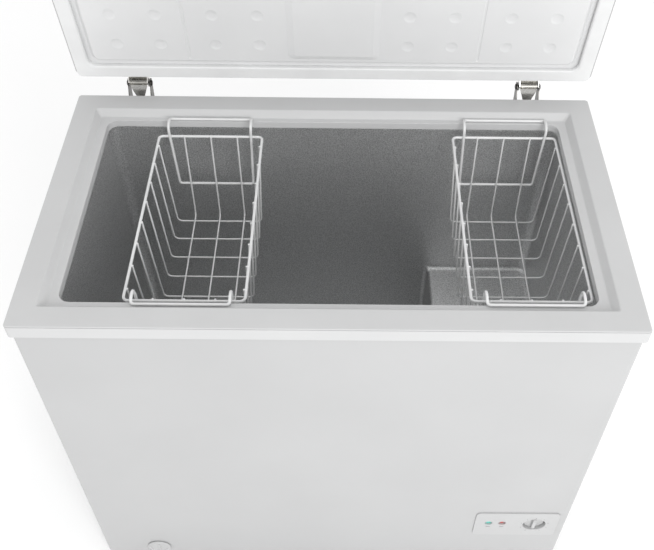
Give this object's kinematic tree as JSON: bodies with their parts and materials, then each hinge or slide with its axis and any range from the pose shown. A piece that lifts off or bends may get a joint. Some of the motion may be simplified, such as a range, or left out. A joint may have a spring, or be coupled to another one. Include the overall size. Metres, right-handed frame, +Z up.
{
  "type": "chest freezer",
  "caption": "White chest freezer with its lid raised on sprung hinges, aluminium tank with a compressor step, hanging wire baskets and a front control panel with drain cap.",
  "frame": {"origin": "centre of the open freezer's footprint, on the floor", "axes": "+X to the right seen from the front, +Y to the back, +Z up; the lid is open at rest"},
  "size_m": [0.945, 0.6007, 1.3963],
  "materials": {
    "white_steel": "satin",
    "white_plastic": "satin",
    "soft_white": "matte",
    "aluminium": "satin",
    "foam": "matte",
    "zinc": "satin",
    "spring_steel": "satin",
    "black_paint": "satin",
    "black_plastic": "matte",
    "rubber": "matte",
    "copper": "satin",
    "green_lens": "gloss",
    "red_lens": "gloss",
    "white_wire": "satin"
  },
  "bodies": {
    "cabinet": {"outer_wrapper": "white_steel", "rear_panel": "white_steel", "top_collar": "white_plastic", "tank_liner": "aluminium", "cabinet_insulation": "foam", "base_pan": "zinc", "compressor_base_plate": "zinc", "compartment_divider": "zinc", "rear_grille": "white_plastic", "cord_gland": "black_plastic", "foot_1": "black_plastic", "foot_2": "black_plastic", "foot_3": "black_plastic", "foot_4": "black_plastic", "compressor": "black_paint", "compressor_mount_1": "rubber", "compressor_mount_2": "rubber", "compressor_mount_3": "rubber", "compressor_mount_4": "rubber", "relay_cover": "black_plastic", "filter_drier": "copper", "suction_tube": "copper", "discharge_tube": "copper", "evaporator_coil": "aluminium", "condenser_coil": "copper", "control_panel": "white_plastic", "power_lamp_green": "green_lens", "alarm_lamp_red": "red_lens", "thermostat_body": "zinc", "drain_tube": "soft_white", "hinge_bracket_left": "zinc", "hinge_bracket_right": "zinc", "hinge_pin_left": "zinc", "hinge_pin_right": "zinc", "hinge_spring_left": "spring_steel", "hinge_spring_right": "spring_steel", "hinge_screw_left_1": "zinc", "hinge_screw_left_2": "zinc", "hinge_screw_right_1": "zinc", "hinge_screw_right_2": "zinc"},
    "lid": {"lid_shell": "white_steel", "lid_liner": "white_plastic", "lid_insulation": "foam", "lid_gasket": "soft_white", "lid_handle": "white_plastic", "hinge_leaf_left": "zinc", "hinge_leaf_right": "zinc"},
    "basket_left": {"basket_left": "white_wire"},
    "basket_right": {"basket_right": "white_wire"},
    "knob": {"thermostat_knob": "white_plastic"},
    "drain_cap": {"drain_cap": "white_plastic"},
    "drain_plug": {"tank_drain_plug": "soft_white"},
    "plunger_left": {"hinge_plunger_left": "zinc"},
    "plunger_right": {"hinge_plunger_right": "zinc"}
  },
  "joints": [
    {"name": "lid_hinge", "type": "hinge", "parent": "cabinet", "child": "lid", "pos_m": [0, 0.265, 0.8103], "axis": [1, 0, 0], "range_deg": [0, 81.5], "stiffness_Nm_per_rad": 5, "springref_deg": -40.11},
    {"name": "basket_left_slide", "type": "slide", "parent": "cabinet", "child": "basket_left", "axis": [1, 0, 0], "range_m": [-0.088, 0.12]},
    {"name": "basket_right_slide", "type": "slide", "parent": "cabinet", "child": "basket_right", "axis": [1, 0, 0], "range_m": [-0.208, 0.001]},
    {"name": "thermostat_turn", "type": "hinge", "parent": "cabinet", "child": "knob", "pos_m": [0.405, -0.2956, 0.165], "axis": [0, 1, 0], "range_deg": [-150, 150]},
    {"name": "drain_cap_pull", "type": "slide", "parent": "cabinet", "child": "drain_cap", "axis": [0, -1, 0], "range_m": [0, 0.025]},
    {"name": "drain_plug_lift", "type": "slide", "parent": "cabinet", "child": "drain_plug", "axis": [0, 0, 1], "range_m": [0, 0.03]},
    {"name": "plunger_left_slide", "type": "slide", "parent": "cabinet", "child": "plunger_left", "axis": [0, 0, 1], "range_m": [-0.0145, 0], "deforming": ["hinge_spring_left"]},
    {"name": "plunger_right_slide", "type": "slide", "parent": "cabinet", "child": "plunger_right", "axis": [0, 0, 1], "range_m": [-0.0145, 0], "deforming": ["hinge_spring_right"]}
  ],
  "couplings": [
    {"joint": "plunger_left_slide", "follows": "lid_hinge", "m_per_rad": -0.0101},
    {"joint": "plunger_right_slide", "follows": "lid_hinge", "m_per_rad": -0.0101}
  ]
}
